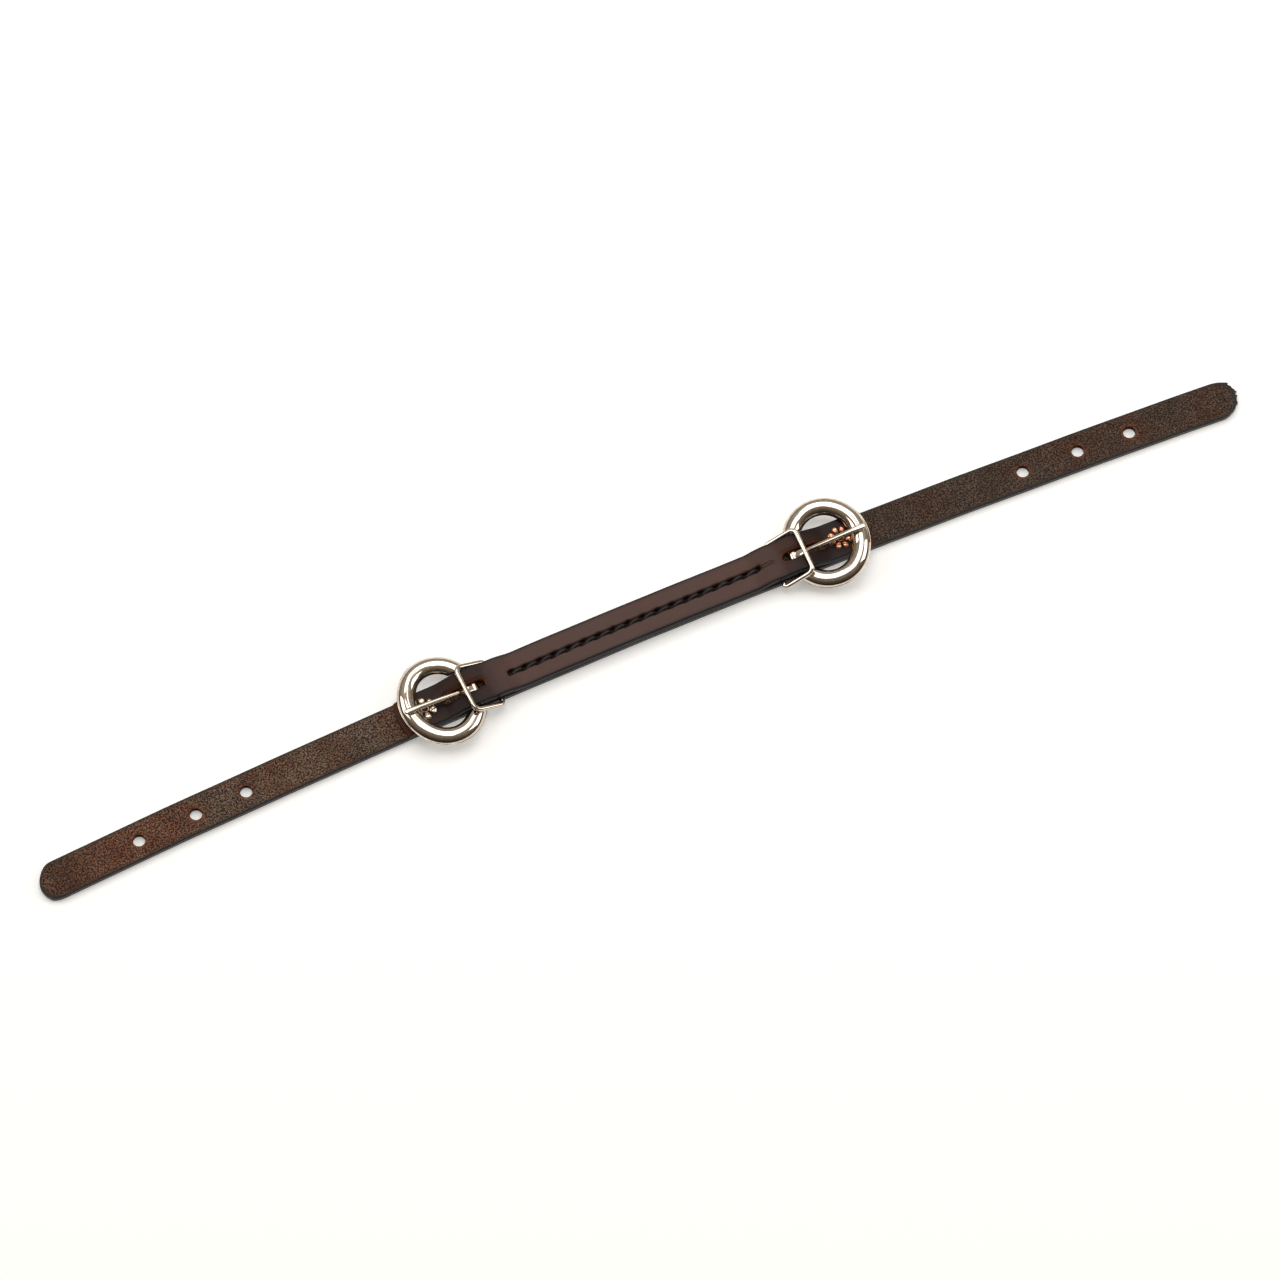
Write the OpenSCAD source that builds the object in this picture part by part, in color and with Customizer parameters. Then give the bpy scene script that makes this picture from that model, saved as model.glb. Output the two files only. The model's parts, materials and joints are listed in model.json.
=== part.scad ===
// Cinch connector strap: a stitched double strap in the middle, a ring buckle with a loose
// wire keeper at each end, and a single three-hole billet beyond each buckle.
// X runs along the strap, Y across it and Z up. The origin is on the plane that the strap lies
// on, midway between the strap's two tips.

/* [Leather] */
// Length of the under strap, from tip to tip
strap_len = 523; // [500:1:560]
// Width of both straps
strap_w = 15.9; // [15.4:0.1:16.1]
// Thickness of one layer of leather
leather_t = 3.0; // [2.9:0.05:3.1]
// How far outward of a ring's centre the cover strap ends
cover_end = 18.95; // [18.6:0.05:19.4]
// Radius of the gentle sideways bow that the strap lies in
bow_r = 4500; // [3000:100:9000]
// Diameter of a punched billet hole
hole_d = 5; // [4:0.1:5.5]

/* [Buckles] */
// Distance from the strap's middle to the right ring's centre
right_s = 83.1; // [82.8:0.1:83.4]
// Distance from the strap's middle to the left ring's centre
left_s = 85; // [84.7:0.1:85.3]
// Ring's outer size along the strap
ring_len = 35.8; // [35.6:0.1:36]
// Ring's outer size across the strap
ring_wid = 39.2; // [39:0.1:39.4]
// Width of the ring's section
ring_sec_w = 7.6; // [7.4:0.1:7.7]
// Radius of the ring's domed upper side
dome_r = 4; // [3.9:0.1:4.2]
// Diameter of the bar that the ring hinges on
bar_d = 2.4; // [2.2:0.1:2.5]
// How far inward of the ring's centre the bar lies
bar_in = 14.1; // [14:0.05:14.2]
// Diameter of the keeper's wire
keeper_wire_d = 2; // [1.8:0.1:2.1]
// Length of the keeper loop, between wire centres
keeper_len = 13.7; // [13.6:0.1:13.9]
// Width of the keeper loop, between wire centres
keeper_w = 20; // [19.8:0.1:20.2]
// Diameter of the tongue's shaft
tongue_d = 2; // [1.8:0.1:2.1]

/* [Stitching] */
// Number of stitches in the row
stitch_count = 17; // [10:1:17]
// Distance from one stitch hole to the next
stitch_pitch = 6.45; // [6:0.05:6.5]

/* [Hidden] */
$fn = 48;
ring_fn = 96;

// Holes, measured outward from the ring's centre; each end was punched by hand.
right_holes = [85.9, 109.9, 132.4];
left_holes = [86, 108, 133];

cover_top = 2 * leather_t;
half_w = strap_w / 2;
// Longer than any cut has to be, so that a cut always goes right through.
big = 60;
// How far one shape runs into the next, so that a union has no hairline gap.
lap = 1;
rail_steps = 12;
arc_steps = 12;
cover_end_r = 26;

// Tongue: rolled round the bar, flat root, then a thin shaft resting on the rim.
roll_d = 4.2;
roll_w = 3.8;
roll_gap = 0.05;
root_w = 3.4;
root_t = 1.5;
root_len = 6.1;
tongue_lift = 1.2;
tongue_reach = 31.7;
// Each tongue lies turned a little towards the strap's -Y side.
right_tongue_turn = -3;
left_tongue_turn = 1.5;
tongue_rest = 0.12;
tip_w = 2.4;
tip_t = 1.3;
tip_len = 4;

// The roll presses a shallow dent into the under strap, and the bar stands over it.
dent_depth = 0.6;
dent_len = 5;
part_gap = 0.05;
bar_z = leather_t + roll_d / 2 - dent_depth + part_gap;

// The ring's outer rim rests on the cover strap, so the ring tilts about its bar. The rim
// touches first near the strap's edges, which leaves this much under its middle.
rim_clear = 0.95;
flat_below = 1.5;
dome_up = 2.6;
rim_z = cover_top + flat_below + rim_clear;
rim_x = (ring_len - ring_sec_w) / 2;
ring_tilt = atan((rim_z - bar_z) / (rim_x + bar_in));
rim_top = rim_z + dome_up;
passage_w = 18.4;
passage_end = -5;
bar_seat = 0.8;
tongue_tilt =
    atan((rim_top + tongue_d / 2 + tongue_rest - bar_z - tongue_lift) / (rim_x + bar_in));

// The keeper's lower wire lies in the seam between the two straps.
keeper_x = -22.2;
keeper_z = leather_t + keeper_wire_d / 2 + part_gap;
keeper_lean = 26.5;
foot_bend = 1.3;
top_bend = 2.6;
// The loose loops lie this far off the middle, towards the strap's -Y side.
keeper_aside = 0.8;

// Heights that the cover strap climbs over the keeper's wire and over the bar.
wire_rise = keeper_wire_d + 2 * part_gap;
bar_rise = bar_z + bar_d / 2 + part_gap - leather_t;
hump_start = -33.6;
wire_flat = [-23.6, -20.8];
bar_flat = [-15.4, -11.5];
hump_end = 1;
// The climb is drawn a little past its ends, with this many straight steps.
hump_lap = 2;
hump_steps = 28;
skive_len = 2.6;
skive_drop = 1.6;

// Slot that lets the tongue up through the cover strap.
slot_from = -18.8;
slot_to = -0.4;
slot_w = 4.4;

// Tubular rivets whose split ends are opened into petals.
right_rivet_x = 6.2;
left_rivet_x = 7.5;
rivet_shank_r = 1.75;
rivet_bore_r = 1.15;
rivet_head_r = 4.4;
rivet_head_t = 1;
rivet_collar_r = 2.3;
rivet_collar_t = 0.8;
petal_count = 6;
petal_from = 1.9;
petal_len = 2.6;
petal_w = 1.6;
petal_t = 0.3;

// Lockstitch: each thread lies in a groove, and the two meet between the layers.
stitch_mid = -0.9;
thread_d = 1.3;
thread_sides = 8;
groove_w = 1.7;
groove_depth = 0.8;
groove_steps = 4;
stitch_slant = 5;
// Both threads are pulled down until only their crowns stand above the leather.
needle_z = cover_top - 0.1;
bobbin_z = thread_d / 2 + 0.03;

leather_flesh = "#4a3529";
leather_grain = "#3a2726";
thread_black = "#16120f";
nickel = "#c4b8a6";
rivet_metal = "#b98d6c";

// ---- The bow: every place along the strap is an arc length s from its middle ----

function bend(s) = s / bow_r * 180 / PI;
// The bow's centre lies on the -Y side, where it puts both ring centres near the X axis.
bow_y = -bow_r * cos(bend((right_s + left_s) / 2));
function on_bow(s, off) = [
    (bow_r + off) * sin(bend(s)),
    (bow_r + off) * cos(bend(s)) + bow_y,
];

module at_bow(s) {
    translate([0, bow_y, 0]) rotate([0, 0, -bend(s)]) translate([0, bow_r, 0]) children();
}

// Right end: local +X points outward along the right billet. The left end is turned round.
module at_right() {
    at_bow(right_s) children();
}

module at_left() {
    at_bow(-left_s) rotate([0, 0, 180]) children();
}

// Points round a strap's end, clockwise: an arc of radius r whose tip is at arc length s.
// The facing angle is 0 at the right-hand end and 180 at the left-hand end.
function end_arc(s, r, facing) =
    let (h = asin(min(1, half_w / r)), side = facing == 0 ? 1 : -1, c = on_bow(s - side * r, 0))
    [for (i = [0 : arc_steps])
        let (a = facing + h * (1 - 2 * i / arc_steps) - bend(s))
        c + r * [cos(a), sin(a)]];

// Outline of a strap between two arc lengths, with ends of radius end_r.
module strap_plan(from_s, to_s, end_r) {
    cap = end_r * (1 - cos(asin(min(1, half_w / end_r))));
    mid = (from_s + to_s) / 2;
    run = (to_s - from_s) / 2 - cap;
    rail = [for (i = [1 - rail_steps : rail_steps - 1]) i / rail_steps * run];
    polygon(concat(
        [for (s = rail) on_bow(mid + s, half_w)],
        end_arc(to_s, end_r, 0),
        [for (s = rail) on_bow(mid - s, -half_w)],
        end_arc(from_s, end_r, 180)
    ));
}

// ---- Leather ----

function ease(t) = t * t * (3 - 2 * t);
function rise(x) =
    x <= hump_start || x >= hump_end ? 0 :
    x < wire_flat[0] ? wire_rise * ease((x - hump_start) / (wire_flat[0] - hump_start)) :
    x <= wire_flat[1] ? wire_rise :
    x < bar_flat[0] ? wire_rise + (bar_rise - wire_rise)
        * ease((x - wire_flat[1]) / (bar_flat[0] - wire_flat[1])) :
    x <= bar_flat[1] ? bar_rise :
    bar_rise * (1 - ease((x - bar_flat[1]) / (hump_end - bar_flat[1])));

// Side profile of one end of the cover strap, in the end's own frame.
module cover_end_profile() {
    x_from = hump_start - hump_lap;
    x_to = hump_end + hump_lap;
    climb = [for (i = [0 : hump_steps]) x_from + (x_to - x_from) * i / hump_steps];
    polygon(concat(
        [for (x = climb) [x, leather_t + rise(x)]],
        [[cover_end + lap, leather_t], [cover_end + lap, cover_top - skive_drop],
         [cover_end - skive_len, cover_top]],
        [for (i = [hump_steps : -1 : 0]) [climb[i], cover_top + rise(climb[i])]]
    ));
}

module cover_end() {
    rotate([90, 0, 0]) linear_extrude(height = big, center = true) cover_end_profile();
}

module tongue_slot() {
    r = slot_w / 2;
    for (x = [slot_from + r, slot_to - r]) {
        translate([x, 0, 0]) cylinder(r = r, h = big);
    }
    translate([slot_from + r, -r, 0]) cube([slot_to - slot_from - slot_w, slot_w, big]);
}

module rivet_hole(x) {
    translate([x, 0, 0]) cylinder(r = rivet_shank_r, h = big, center = true);
}

module stitch_groove(z) {
    run = stitch_count * stitch_pitch / 2 + lap;
    rail = [for (i = [-groove_steps : groove_steps]) i / groove_steps * run];
    translate([0, 0, z - groove_depth]) linear_extrude(height = 2 * groove_depth)
        polygon(concat(
            [for (s = rail) on_bow(stitch_mid + s, groove_w / 2)],
            [for (s = rail) on_bow(stitch_mid - s, -groove_w / 2)]
        ));
}

module billet_hole(s) {
    at_bow(s) cylinder(d = hole_d, h = big, center = true);
}

module under_strap() {
    color(leather_flesh) difference() {
        linear_extrude(height = leather_t) strap_plan(-strap_len / 2, strap_len / 2, half_w);
        for (x = right_holes) billet_hole(right_s + x);
        for (x = left_holes) billet_hole(-left_s - x);
        at_right() under_strap_cuts(right_rivet_x);
        at_left() under_strap_cuts(left_rivet_x);
        stitch_groove(0);
    }
}

module under_strap_cuts(rivet_x) {
    rivet_hole(rivet_x);
    translate([rivet_x, 0, -lap]) cylinder(r = rivet_head_r, h = rivet_head_t + lap);
    translate([-bar_in - dent_len / 2, -slot_w / 2, leather_t - dent_depth])
        cube([dent_len, slot_w, leather_t]);
}

module cover_strap() {
    color(leather_grain) difference() {
        intersection() {
            linear_extrude(height = big)
                strap_plan(-left_s - cover_end, right_s + cover_end, cover_end_r);
            union() {
                translate([-left_s - hump_start, -big / 2, leather_t])
                    cube([left_s + right_s + 2 * hump_start, big, leather_t]);
                at_right() cover_end();
                at_left() cover_end();
            }
        }
        at_right() tongue_slot();
        at_left() tongue_slot();
        at_right() rivet_hole(right_rivet_x);
        at_left() rivet_hole(left_rivet_x);
        stitch_groove(cover_top);
    }
}

// ---- Thread ----

function stitch_s(i) = stitch_mid + (i - stitch_count / 2) * stitch_pitch;

module thread_run(z, slant) {
    for (i = [0 : stitch_count - 1]) {
        at_bow(stitch_s(i + 0.5)) translate([0, 0, z]) rotate([0, 90, slant])
            cylinder(d = thread_d, h = stitch_pitch, center = true, $fn = thread_sides);
    }
}

module thread_drops(from_z, to_z) {
    for (i = [0 : stitch_count]) {
        at_bow(stitch_s(i)) translate([0, 0, from_z])
            cylinder(d = thread_d, h = to_z - from_z, $fn = thread_sides);
    }
}

module needle_thread() {
    color(thread_black) union() {
        thread_run(needle_z, stitch_slant);
        thread_drops(leather_t, needle_z);
    }
}

module bobbin_thread() {
    color(thread_black) union() {
        thread_run(bobbin_z, -stitch_slant);
        thread_drops(bobbin_z, leather_t);
    }
}

// ---- Buckle ----

module ring_section() {
    intersection() {
        translate([0, dome_up - dome_r]) circle(r = dome_r);
        translate([-ring_sec_w / 2, -flat_below]) square([ring_sec_w, flat_below + dome_up]);
    }
}

// A quarter of the oval: an arc of radius r about c, spanning 90 degrees from angle a.
module ring_quarter(c, r, a) {
    translate([c[0], c[1], 0]) rotate([0, 0, a])
        rotate_extrude(angle = 90, $fn = ring_fn) translate([r, 0]) ring_section();
}

module oval_ring() {
    along = (ring_len - ring_sec_w) / 2;
    across = (ring_wid - ring_sec_w) / 2;
    c = (across - along) / (2 - sqrt(2));
    ring_quarter([-c, 0], along + c, -45);
    ring_quarter([0, c], across - c, 45);
    ring_quarter([c, 0], along + c, 135);
    ring_quarter([0, -c], across - c, 225);
}

// The ring is left open where the straps pass, and the round bar closes the gap.
module buckle_frame() {
    color(nickel) translate([-bar_in, 0, bar_z]) rotate([0, -ring_tilt, 0])
        translate([bar_in, 0, 0]) union() {
            difference() {
                oval_ring();
                translate([passage_end - big, -passage_w / 2, -big / 2])
                    cube([big, passage_w, big]);
            }
            translate([-bar_in, 0, 0]) rotate([90, 0, 0])
                cylinder(d = bar_d, h = passage_w + 2 * bar_seat, center = true);
        }
}

module tongue(turn) {
    color(nickel) translate([-bar_in, 0, bar_z]) difference() {
        union() {
            rotate([90, 0, 0]) cylinder(d = roll_d, h = roll_w, center = true);
            rotate([0, -tongue_tilt, 0]) translate([0, 0, tongue_lift]) rotate([0, 0, turn]) {
                translate([0, -root_w / 2, -root_t / 2]) cube([root_len, root_w, root_t]);
                translate([root_len - lap, 0, 0]) rotate([0, 90, 0])
                    cylinder(d = tongue_d, h = tongue_reach - root_len + lap);
                translate([tongue_reach - tip_len, -tip_w / 2, -tip_t / 2])
                    cube([tip_len, tip_w, tip_t]);
            }
        }
        rotate([90, 0, 0]) cylinder(r = bar_d / 2 + roll_gap, h = roll_w + lap, center = true);
    }
}

module wire(length) {
    rotate([0, 90, 0]) cylinder(d = keeper_wire_d, h = length);
}

module wire_bend(r) {
    rotate_extrude(angle = 90) translate([r, 0]) circle(d = keeper_wire_d);
}

// One half of the loop, drawn flat: X runs from the lower wire to the top wire.
module keeper_half() {
    y = keeper_w / 2;
    translate([0, -lap, 0]) rotate([0, 0, 90]) wire(y - foot_bend + lap);
    translate([foot_bend, y - foot_bend, 0]) rotate([0, 0, 90]) wire_bend(foot_bend);
    translate([foot_bend, y, 0]) wire(keeper_len - foot_bend - top_bend);
    translate([keeper_len - top_bend, y - top_bend, 0]) wire_bend(top_bend);
    translate([keeper_len, -lap, 0]) rotate([0, 0, 90]) wire(y - top_bend + lap);
}

module keeper(aside) {
    color(nickel) translate([keeper_x, aside, keeper_z]) rotate([0, -keeper_lean, 0]) union() {
        keeper_half();
        mirror([0, 1, 0]) keeper_half();
    }
}

module rivet() {
    color(rivet_metal) difference() {
        union() {
            cylinder(r = rivet_head_r, h = rivet_head_t);
            cylinder(r = rivet_shank_r, h = cover_top);
            translate([0, 0, cover_top]) cylinder(r = rivet_collar_r, h = rivet_collar_t);
            for (i = [0 : petal_count - 1]) {
                rotate([0, 0, (i + 0.5) * 360 / petal_count])
                    translate([petal_from, -petal_w / 2, cover_top])
                    cube([petal_len, petal_w, petal_t]);
            }
        }
        translate([0, 0, rivet_head_t]) cylinder(r = rivet_bore_r, h = cover_top);
    }
}

module right_frame() { at_right() buckle_frame(); }
module right_tongue() { at_right() tongue(right_tongue_turn); }
module right_keeper() { at_right() keeper(-keeper_aside); }
module right_rivet() { at_right() translate([right_rivet_x, 0, 0]) rivet(); }
module left_frame() { at_left() buckle_frame(); }
module left_tongue() { at_left() tongue(left_tongue_turn); }
module left_keeper() { at_left() keeper(keeper_aside); }
module left_rivet() { at_left() translate([left_rivet_x, 0, 0]) rivet(); }

under_strap();
cover_strap();
needle_thread();
bobbin_thread();
right_frame();
right_tongue();
right_keeper();
right_rivet();
left_frame();
left_tongue();
left_keeper();
left_rivet();
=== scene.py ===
# %% [markdown]
# # Cinch connector strap
#
# A cinch connector is a narrow leather strap that ties the front girth of a western saddle to
# the rear one. Two straps are stitched together in the middle. At each end of the stitched part
# sits a ring buckle with a loose wire keeper, and beyond it the lower strap runs on as a billet
# with three punched holes. The moving pieces are the ring, its tongue and the keeper.
#
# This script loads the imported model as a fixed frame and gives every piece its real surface.

# %% Load the frame
import bmesh
import bpy
import json
import math
from mathutils import Matrix, Vector


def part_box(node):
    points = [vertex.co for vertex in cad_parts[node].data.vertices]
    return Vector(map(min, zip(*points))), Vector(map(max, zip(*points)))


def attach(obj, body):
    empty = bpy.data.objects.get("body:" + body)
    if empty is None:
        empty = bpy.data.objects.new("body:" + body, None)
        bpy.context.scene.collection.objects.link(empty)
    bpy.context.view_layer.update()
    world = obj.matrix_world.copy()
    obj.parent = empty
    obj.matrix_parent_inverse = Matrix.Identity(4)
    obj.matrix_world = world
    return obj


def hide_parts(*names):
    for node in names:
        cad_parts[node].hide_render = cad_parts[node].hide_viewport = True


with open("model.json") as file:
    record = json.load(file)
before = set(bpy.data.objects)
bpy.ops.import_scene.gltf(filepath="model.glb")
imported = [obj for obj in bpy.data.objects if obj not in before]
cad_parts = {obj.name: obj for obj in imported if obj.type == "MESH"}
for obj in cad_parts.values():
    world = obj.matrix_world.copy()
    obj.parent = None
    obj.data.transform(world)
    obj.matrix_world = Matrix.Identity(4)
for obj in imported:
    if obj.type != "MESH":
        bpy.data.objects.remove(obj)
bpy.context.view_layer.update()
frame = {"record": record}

MM = 0.001

# %% [markdown]
# ## Two local frames, one at each ring
#
# Both ends are the same assembly, turned by half a turn. Each end gets a matrix whose X points
# outward along the billet, Y across the strap and Z up, with its origin under the ring's centre.
# The joints give the matrix, because every hinge there turns about the end's own -Y axis.
# Inside the script lengths are in millimetres, and a piece is scaled to metres at the end.

# %% Ends and the strap's bow
joints = {joint["name"]: joint for joint in frame["record"]["behaviour"]["joints"]}
mounts = {mount["name"]: mount for mount in frame["record"]["mounts"]}
BAR_IN = 14.1
SIDES = ("left", "right")
SIGN = {"left": -1, "right": 1}


def vector_mm(values):
    return Vector(values) / MM


def end_matrix(side):
    hinge = joints[side + "_ring_hinge"]
    across = -Vector(hinge["axis"])
    up = Vector((0, 0, 1))
    outward = across.cross(up)
    origin = vector_mm(hinge["pos_m"]) + outward * BAR_IN
    origin.z = 0
    return Matrix.Translation(origin) @ Matrix((outward, across, up)).transposed().to_4x4()


END = {side: end_matrix(side) for side in SIDES}
bend = {side: math.asin(-END[side].col[0].y) for side in SIDES}
span = END["right"].translation.x - END["left"].translation.x
BOW_R = span / (math.sin(bend["right"]) + math.sin(bend["left"]))
BOW_Y = END["right"].translation.y - BOW_R * math.cos(bend["right"])
RING_S = {side: BOW_R * bend[side] for side in SIDES}
BAR_Z = vector_mm(joints["right_ring_hinge"]["pos_m"]).z
keeper_at = END["right"].inverted() @ vector_mm(joints["right_keeper_swing"]["pos_m"])
KEEPER_Z = keeper_at.z
print("ring centres from the middle:", {side: round(RING_S[side], 2) for side in SIDES}, "mm")
print(f"bow radius {BOW_R:.0f} mm, bar height {BAR_Z:.2f} mm")


# %% Places along the strap
def on_bow(s, across, up):
    """Place s along the strap, counted from its middle, as a point in the frame."""
    angle = s / BOW_R
    reach = BOW_R + across
    return Vector((reach * math.sin(angle), reach * math.cos(angle) + BOW_Y, up))


def to_s(x):
    return math.asin(x / BOW_R) * BOW_R


def end_place(s):
    """The end that s is nearer to, and the distance outward of that end's ring centre."""
    side = "right" if s > 0 else "left"
    return side, abs(s) - RING_S[side]


def strap_s(side, x):
    return SIGN[side] * (RING_S[side] + x)


# %% [markdown]
# ## Tools for bending leather
#
# Each strap starts as a flat sheet of quads, because holes, edges and grooves are easiest to
# place while the leather is flat. The sheet is punched, given its thickness and bevelled, and
# only then wrapped along the bow and over the buckle hardware.
# A boolean cut would be shorter, but it leaves long thin triangles that shade badly.

# %% Sheet, punch and thicken
def stations(breaks, step):
    """Evenly spaced values that include every break."""
    values = [breaks[0]]
    for low, high in zip(breaks, breaks[1:]):
        count = max(1, round((high - low) / step))
        values += [low + (high - low) * i / count for i in range(1, count + 1)]
    return values


def mirrored(rows):
    return [-row for row in reversed(rows) if row > 0] + list(rows)


def flat_sheet(columns, rows):
    bm = bmesh.new()
    bmesh.ops.create_grid(bm, x_segments=len(columns) - 1, y_segments=len(rows) - 1, size=1)
    for vert in bm.verts:
        column = round((vert.co.x + 1) / 2 * (len(columns) - 1))
        row = round((vert.co.y + 1) / 2 * (len(rows) - 1))
        vert.co = (columns[column], rows[row], 0)
    return bm


def from_slot(point, slot):
    """Vector to a point from the middle line of a round or long hole."""
    x_from, x_to, radius = slot
    x = min(max(point.x, x_from + radius), x_to - radius)
    return Vector((point.x - x, point.y, 0)), Vector((x, 0, 0))


def punch(bm, slot, margin, lip):
    """Opens a round or long hole: a block of faces goes, and its rim is drawn in to the hole."""
    x_from, x_to, radius = slot
    reach = radius + margin
    block = [face for face in bm.faces
             if x_from - margin < face.calc_center_median().x < x_to + margin
             and abs(face.calc_center_median().y) < reach]
    rim = {edge for face in block for edge in face.edges}
    rim = [edge for edge in rim if sum(face in block for face in edge.link_faces) == 1]
    bmesh.ops.delete(bm, geom=block, context="FACES")
    for outline in (radius + lip, radius):
        made = bmesh.ops.extrude_edge_only(bm, edges=rim)["geom"]
        verts = [item for item in made if isinstance(item, bmesh.types.BMVert)]
        for vert in verts:
            away, axis = from_slot(vert.co, slot)
            vert.co = axis + away.normalized() * outline
        fresh = set(verts)
        rim = [item for item in made if isinstance(item, bmesh.types.BMEdge)
               and all(vert in fresh for vert in item.verts)]


def thicken(bm, thickness, edge_bevel):
    """Lifts a copy of the sheet by the leather's thickness and rounds the corners left."""
    made = bmesh.ops.extrude_face_region(bm, geom=bm.faces[:])["geom"]
    for item in made:
        if isinstance(item, bmesh.types.BMVert):
            item.co.z += thickness
    bmesh.ops.recalc_face_normals(bm, faces=bm.faces)
    corners = [edge for edge in bm.edges
               if len(edge.link_faces) == 2 and edge.calc_face_angle() > math.radians(60)
               and abs(edge.verts[0].co.z - edge.verts[1].co.z) < 0.01]
    bmesh.ops.bevel(bm, geom=corners, offset=edge_bevel, offset_type="OFFSET", segments=3,
                    profile=0.5, affect="EDGES", clamp_overlap=True, material=-1)


def smooth_step(low, high, value):
    t = min(max((value - low) / (high - low), 0), 1)
    return t * t * (3 - 2 * t)


def to_piece(bm, name, matrix=None):
    """A bmesh in millimetres becomes a smooth-shaded object in metres, at the origin."""
    if matrix:
        bm.transform(matrix)
    bm.transform(Matrix.Scale(MM, 4))
    for face in bm.faces:
        face.smooth = True
    mesh = bpy.data.meshes.new(name)
    bm.to_mesh(mesh)
    bm.free()
    piece = bpy.data.objects.new(name, mesh)
    bpy.context.scene.collection.objects.link(piece)
    print(f"{name}: {len(mesh.polygons)} faces")
    return piece


# %% [markdown]
# ## The under strap
#
# The long strap is vegetable-tanned leather about 3 mm thick, laid grain side down, so what
# shows on the billets is the rough flesh side. Its edges are bevelled and burnished, each
# billet has three punched holes, and the right-hand tip has worn ragged.
# Four painted-on masks go with the mesh. "burnish" is 1 where the edge slicker has polished the
# leather, and "raw" where a punch has opened undyed fibre. The dye mask is 1 where the dye lies
# thickest, and also on the walls of the punched holes, where it paints their shade. "oil" is 1
# where oil has turned the leather redder.

# %% Under strap: sizes
STRAP_W = 15.9
HALF_W = STRAP_W / 2
LEATHER_T = 3.0
strap_low, strap_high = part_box("under_strap")
STRAP_LEN = 2 * to_s((strap_high[0] - strap_low[0]) / MM / 2)
HOLE_R = mounts["right_billet_hole_1"]["dims"]["r_mm"]
hole_s = sorted(to_s(mount["pos_m"][0] / MM) for name, mount in mounts.items()
                if "billet_hole" in name)
STITCHES = 17
STITCH_PITCH = 6.45
STITCH_MID = -0.9
stitch_s = [STITCH_MID + (i - STITCHES / 2) * STITCH_PITCH for i in range(STITCHES + 1)]
print("billet holes at s =", [round(s, 1) for s in hole_s], "mm; length", round(STRAP_LEN, 1))


def inset(s, across, half_length, end_r):
    """Distance from a strap's outline, with round ends of radius end_r."""
    run = half_length - end_r
    if abs(s) <= run:
        return HALF_W - abs(across)
    return min(HALF_W - abs(across), end_r - math.hypot(abs(s) - run, across))


def wander(s, seed, size):
    """A slow waver of the leather along the strap, the same on each run."""
    return size * (math.sin(s / 17.3 + seed) + 0.6 * math.sin(s / 7.9 + 2.1 * seed)) / 1.6


# %% Under strap: mesh
PUNCH_MARGIN = 1.2
PUNCH_LIP = 0.45
under_rows = mirrored([0, 0.45, 0.9, 1.5, 2.5, HOLE_R + PUNCH_MARGIN, 5.0, 6.2, 7.1, HALF_W])
half_len = STRAP_LEN / 2
blocks = [s + side * (HOLE_R + PUNCH_MARGIN) for s in hole_s for side in (-1, 1)]
tips = [-half_len, -(half_len - HALF_W), half_len - HALF_W, half_len]
under_columns = stations(sorted(blocks + tips), 1.1)
under_slots = [(s - HOLE_R, s + HOLE_R, HOLE_R) for s in hole_s]

sheet = flat_sheet(under_columns, under_rows)
for slot in under_slots:
    punch(sheet, slot, PUNCH_MARGIN, PUNCH_LIP)
thicken(sheet, LEATHER_T, 0.75)

# %% [markdown]
# ### Shaping the under strap
#
# While the strap is still flat, the end columns are drawn into a half disc, the punched rims
# are pressed down a little, and the thread's groove is sunk into the underside. Both tips are
# cut a little to one side, and the ragged one has small uneven bites out of its rim.

# %% Under strap: shape and wrap
TIP_RUN = half_len - HALF_W
LEFT_TIP_ASIDE = -1.0
RIGHT_TIP_ASIDE = 0.9
RIGHT_TIP_LONGER = 1.3
GROOVE_DEPTH = 0.7
AWL_DEPTH = 1.3
AWL_HALF = 1.3
ROW_ASIDE = -0.15
ROW_DRIFT = 0.005
HOLE_BEVEL = 0.62
OIL_PATCHES = ((-224, 22, 1.0), (216, 7, 0.6))


def round_tip(point):
    """Draws the last square of the strap's end into a half disc, cut a little to one side."""
    along = (abs(point.x) - TIP_RUN) / HALF_W
    if along <= 0:
        return point.x, point.y
    across = point.y / HALF_W
    x = TIP_RUN + HALF_W * along * math.sqrt(1 - across * across / 2)
    y = HALF_W * across * math.sqrt(1 - along * along / 2)
    if point.x < 0:
        return -x, y + LEFT_TIP_ASIDE * along * along
    return x + RIGHT_TIP_LONGER * along ** 3, y + RIGHT_TIP_ASIDE * along * along


def ragged(s, across):
    """How far the worn right-hand tip has frayed back."""
    if s < TIP_RUN:
        return 0
    edge = smooth_step(2.2, 0, inset(s, across, half_len, HALF_W))
    bite = (math.sin(across * 2.7) + math.sin(across * 6.1 + 1) * 0.7 + math.sin(across * 11.3))
    return edge * smooth_step(4, 7.5, s - TIP_RUN) * (0.55 + 0.32 * bite)


def row_line(s):
    """The row of stitches isn't quite straight: it drifts across the strap."""
    return ROW_ASIDE + ROW_DRIFT * s


def to_row(s):
    """1 along the row of stitches, falling to 0 just past its ends."""
    past = max(stitch_s[0] - s, s - stitch_s[-1])
    return smooth_step(1.2, 0.2, past)


def awl_hole(s, across):
    """1 in an awl hole, falling to 0 at its rim; the holes are long and a little slanted."""
    near = min(stitch_s, key=lambda hole: abs(hole - s))
    along = s - near
    side = across - row_line(s) - 0.2 * along
    return math.exp(-((along / AWL_HALF) ** 2) ** 1.5) * smooth_step(1.45, 0.7, abs(side))


def groove(s, across):
    """Depth of the stitching groove, deeper where the awl went through."""
    side = across - row_line(s)
    trough = GROOVE_DEPTH * smooth_step(1.5, 0.6, abs(side)) * to_row(s)
    return trough + AWL_DEPTH * awl_hole(s, across)


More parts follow.
